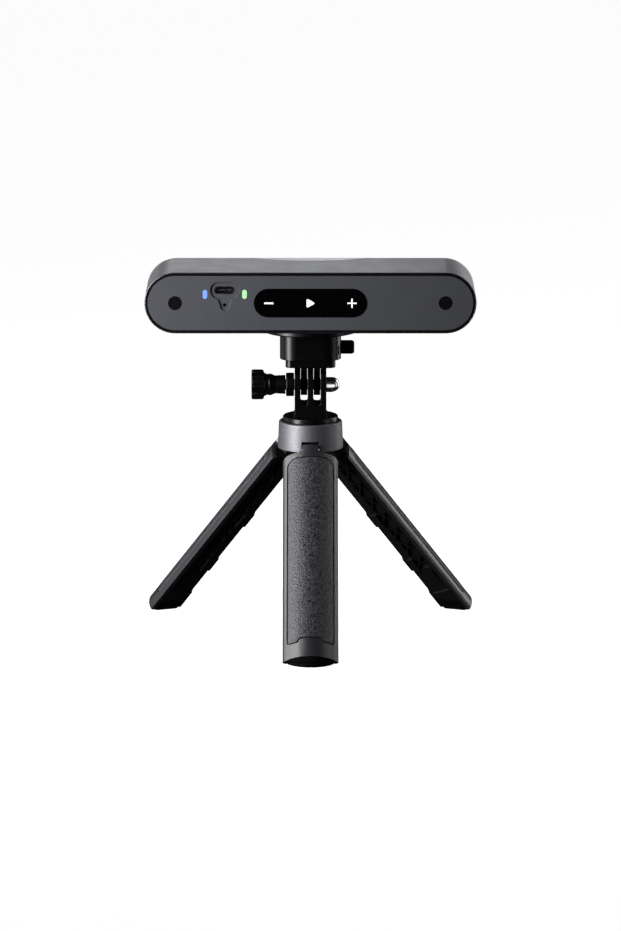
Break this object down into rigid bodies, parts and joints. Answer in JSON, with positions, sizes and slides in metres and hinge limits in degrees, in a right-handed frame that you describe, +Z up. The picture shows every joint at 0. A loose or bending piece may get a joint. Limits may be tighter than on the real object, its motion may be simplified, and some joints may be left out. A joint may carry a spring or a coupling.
{
  "type": "handheld 3d scanner",
  "caption": "Capsule-bodied handheld 3D scanner with key panel and charging port, on a quick-release clamp, tilt joint and folding mini tripod that closes into a handle.",
  "frame": {"origin": "on the floor, under the middle of the box round the scanner and the open tripod; the column's axis passes behind it, along +Y", "axes": "+X along the scanner, to the right as its key face is looked at; -Y is the way the key face looks; +Z is up"},
  "size_m": [0.154, 0.1372, 0.1715],
  "materials": {
    "shell_metal": "bead-blasted dark grey anodised",
    "cover_plastic": "fine matte grey",
    "black_plastic": "satin black",
    "gloss_black": "gloss black",
    "icon_white": "white inlay",
    "blue_lens": "blue light pipe",
    "green_lens": "pale green light pipe",
    "plate_satin": "satin light grey blank plate",
    "black_rubber": "matte black rubber",
    "window_glass": "dark window",
    "lens_glass": "coated lens",
    "steel": "bright steel",
    "chrome": "polished",
    "brass": "plain brass",
    "board_green": "circuit board",
    "chip_black": "moulded chip",
    "bench_alu": "machined",
    "washer_white": "slippery nylon",
    "collar_metal": "satin anodised, fine turning lines",
    "leg_shell": "smooth dark grey plastic",
    "leg_core": "black ribbed plastic",
    "grip_rubber": "grained soft-touch rubber"
  },
  "bodies": {
    "tripod_hub": {"collar": "collar_metal", "leg_hub": "black_plastic", "hinge_pins": "steel", "pan_washer": "washer_white"},
    "pan_head": {"pan_head": "black_plastic", "dome_nut": "chrome", "pan_screw": "steel"},
    "tilt_screw": {"tilt_knob": "black_plastic", "tilt_bolt": "steel", "knob_washer": "black_plastic"},
    "release_button": {"release_button": "black_plastic"},
    "minus_key": {"minus_key": "gloss_black", "minus_icon": "icon_white"},
    "play_key": {"play_key": "gloss_black", "play_icon": "icon_white"},
    "plus_key": {"plus_key": "gloss_black", "plus_icon": "icon_white"},
    "front_leg": {"front_leg_shell": "leg_shell", "front_leg_core": "leg_core", "front_leg_grip": "grip_rubber", "front_leg_foot": "black_rubber"},
    "left_leg": {"left_leg_shell": "leg_shell", "left_leg_core": "leg_core", "left_leg_grip": "grip_rubber", "left_leg_foot": "black_rubber"},
    "right_leg": {"right_leg_shell": "leg_shell", "right_leg_core": "leg_core", "right_leg_grip": "grip_rubber", "right_leg_foot": "black_rubber"},
    "head": {"housing_shell": "shell_metal", "back_cover": "cover_plastic", "rear_seal": "black_rubber", "name_plate": "plate_satin", "front_bezel": "black_plastic", "cover_glass": "window_glass", "optics_bench": "bench_alu", "bench_screws": "steel", "stereo_cameras": "black_plastic", "color_camera": "black_plastic", "projector": "black_plastic", "lenses": "lens_glass", "fill_light": "chip_black", "main_board": "board_green", "board_chips": "chip_black", "board_standoffs": "brass", "key_board": "board_green", "key_switches": "chip_black", "usb_port": "steel", "blue_light": "blue_lens", "green_light": "green_lens", "screw_plugs": "black_rubber", "cover_screws": "steel", "tripod_insert": "brass", "plate_screw": "steel", "mount_plate": "black_plastic", "clamp_body": "black_plastic", "clamp_base": "black_plastic", "base_screws": "steel", "release_spring": "steel"}
  },
  "joints": [
    {"name": "pan_swivel", "type": "hinge", "parent": "tripod_hub", "child": "pan_head", "pos_m": [0, 0.01739, 0.098], "axis": [0, 0, 1], "continuous": true},
    {"name": "tilt_hinge", "type": "hinge", "parent": "pan_head", "child": "head", "pos_m": [0, 0.01739, 0.1152], "axis": [1, 0, 0], "range_deg": [-90, 90]},
    {"name": "knob_spin", "type": "hinge", "parent": "pan_head", "child": "tilt_screw", "pos_m": [0, 0.01739, 0.1152], "axis": [1, 0, 0], "continuous": true},
    {"name": "front_leg_fold", "type": "hinge", "parent": "tripod_hub", "child": "front_leg", "pos_m": [0, 0.00779, 0.0882], "axis": [1, 0, 0], "range_deg": [0, 40]},
    {"name": "left_leg_fold", "type": "hinge", "parent": "tripod_hub", "child": "left_leg", "pos_m": [-0.00831, 0.02219, 0.0882], "axis": [-0.5, -0.866, 0], "range_deg": [0, 40]},
    {"name": "right_leg_fold", "type": "hinge", "parent": "tripod_hub", "child": "right_leg", "pos_m": [0.00831, 0.02219, 0.0882], "axis": [-0.5, 0.866, 0], "range_deg": [0, 40]},
    {"name": "release_press", "type": "slide", "parent": "head", "child": "release_button", "axis": [-1, 0, 0], "range_m": [0, 0.0025], "stiffness_N_per_m": 1200, "springref_m": -0.0012, "deforming": ["release_spring"]},
    {"name": "minus_press", "type": "slide", "parent": "head", "child": "minus_key", "axis": [0, 1, 0], "range_m": [0, 0.00045], "stiffness_N_per_m": 2500, "springref_m": -0.0002},
    {"name": "play_press", "type": "slide", "parent": "head", "child": "play_key", "axis": [0, 1, 0], "range_m": [0, 0.00045], "stiffness_N_per_m": 2500, "springref_m": -0.0002},
    {"name": "plus_press", "type": "slide", "parent": "head", "child": "plus_key", "axis": [0, 1, 0], "range_m": [0, 0.00045], "stiffness_N_per_m": 2500, "springref_m": -0.0002}
  ]
}
